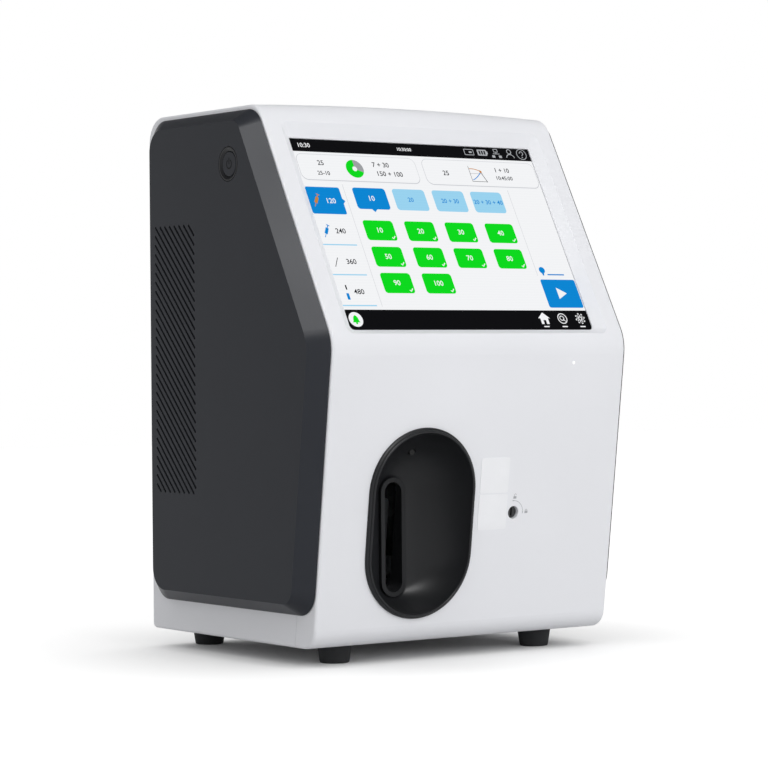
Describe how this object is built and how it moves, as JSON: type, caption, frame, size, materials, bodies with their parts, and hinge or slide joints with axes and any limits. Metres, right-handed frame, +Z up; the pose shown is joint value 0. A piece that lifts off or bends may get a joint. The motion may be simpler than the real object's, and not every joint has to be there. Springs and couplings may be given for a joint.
{
  "type": "blood gas analyzer",
  "caption": "Bench-top blood gas analyzer: white wedge-fronted housing, tilted touchscreen, oval sample port with a slot, dark side covers, a keyed service door and rubber feet.",
  "frame": {"origin": "on the table under the middle of the box round the whole analyzer, at the feet's treads", "axes": "+X to the user's right, +Y to the back, +Z up"},
  "size_m": [0.2782, 0.231, 0.3815],
  "materials": {
    "housing_white": "smooth moulded plastic, fine matte",
    "cover_grey": "dark grey painted plastic, satin",
    "port_black": "dark moulded plastic, satin",
    "foot_rubber": "black rubber",
    "screen_glass": "clear cover glass",
    "display": "lit display panel",
    "board_green": "printed circuit board",
    "sheet_steel": "zinc-grey sheet steel",
    "bright_steel": "ground stainless steel",
    "screw_steel": "zinc-plated steel",
    "motor_black": "black painted steel",
    "case_alloy": "plain aluminium",
    "gear_plastic": "natural acetal",
    "arm_plastic": "grey engineering plastic",
    "tube_clear": "translucent elastic tube",
    "label_white": "blank adhesive label",
    "lamp": "diffusing light pipe",
    "connector_black": "black connector plastic",
    "cartridge_white": "moulded cartridge case",
    "cell_clear": "clear acrylic block",
    "sensor_cream": "cream sensor body"
  },
  "bodies": {
    "housing": {"front_shell": "housing_white", "main_shell": "housing_white", "feet": "foot_rubber", "foot_screws": "screw_steel", "display_glass": "screen_glass", "lcd_panel": "display", "display_frame": "sheet_steel", "display_screws": "screw_steel", "display_board": "board_green", "status_lamp": "lamp", "port_bezel": "port_black", "port_lamp": "lamp", "blank_labels": "label_white", "sampler_bracket": "sheet_steel", "sampler_motor": "motor_black", "lock_body": "bright_steel", "bolt_guide": "connector_black", "left_cover": "cover_grey", "cover_screws": "screw_steel", "button_ring": "cover_grey", "button_switch": "connector_black", "hinge_brackets": "motor_black", "hinge_pins": "bright_steel", "cartridge_tray": "sheet_steel", "reagent_cartridge": "cartridge_white", "chassis_tray": "sheet_steel", "chassis_wall": "sheet_steel", "power_supply": "case_alloy", "board_spacers": "screw_steel", "main_board": "board_green", "rear_panel": "sheet_steel", "connector_panel": "sheet_steel", "panel_screws": "screw_steel", "power_inlet": "connector_black", "data_sockets": "connector_black", "fan_frame": "connector_black", "pump_head": "arm_plastic", "pump_motor": "motor_black", "pump_tube": "tube_clear", "measuring_cell": "cell_clear", "sensors": "sensor_cream", "valve_block": "cell_clear", "valves": "motor_black", "fluid_lines": "tube_clear"},
    "service_door": {"service_door": "cover_grey", "door_catch": "connector_black"},
    "lock": {"lock_core": "bright_steel", "lock_pinion": "gear_plastic"},
    "bolt": {"latch_bolt": "bright_steel"},
    "button": {"power_button": "cover_grey", "switch_plunger": "gear_plastic"},
    "arm": {"sampler_arm": "arm_plastic", "sample_needle": "bright_steel", "sampler_shaft": "bright_steel", "sampler_gear": "gear_plastic"},
    "motor": {"motor_pinion": "gear_plastic", "motor_shaft": "bright_steel"},
    "fan": {"fan_rotor": "connector_black"},
    "pump": {"pump_rotor": "gear_plastic", "pump_shaft": "bright_steel"}
  },
  "joints": [
    {"name": "door_hinge", "type": "hinge", "parent": "housing", "child": "service_door", "pos_m": [0.1312, 0.1018, 0.2], "axis": [0, 0, 1], "range_deg": [0, 100]},
    {"name": "key_turn", "type": "hinge", "parent": "housing", "child": "lock", "pos_m": [0.0349, -0.10077, 0.09847], "axis": [0, 0.9919, 0.1273], "range_deg": [0, 90]},
    {"name": "bolt_slide", "type": "slide", "parent": "housing", "child": "bolt", "axis": [1, 0, 0], "range_m": [0, 0.0094]},
    {"name": "button_press", "type": "slide", "parent": "housing", "child": "button", "axis": [1, 0, 0], "range_m": [0, 0.0015], "stiffness_N_per_m": 900, "springref_m": -0.002},
    {"name": "arm_swing", "type": "hinge", "parent": "housing", "child": "arm", "pos_m": [-0.0444, -0.047, 0.05658], "axis": [1, 0, 0], "range_deg": [0, 50]},
    {"name": "motor_spin", "type": "hinge", "parent": "housing", "child": "motor", "pos_m": [-0.0444, -0.01824, 0.06027], "axis": [1, 0, 0], "range_deg": [-112, 0]},
    {"name": "fan_spin", "type": "hinge", "parent": "housing", "child": "fan", "pos_m": [0.058, 0.102, 0.281], "axis": [0, 1, 0], "continuous": true},
    {"name": "pump_spin", "type": "hinge", "parent": "housing", "child": "pump", "pos_m": [-0.072, -0.018, 0.249], "axis": [0, 1, 0], "continuous": true}
  ],
  "couplings": [
    {"joint": "key_turn", "follows": "bolt_slide", "rad_per_m": 166.67},
    {"joint": "motor_spin", "follows": "arm_swing", "ratio": -2.2222}
  ]
}
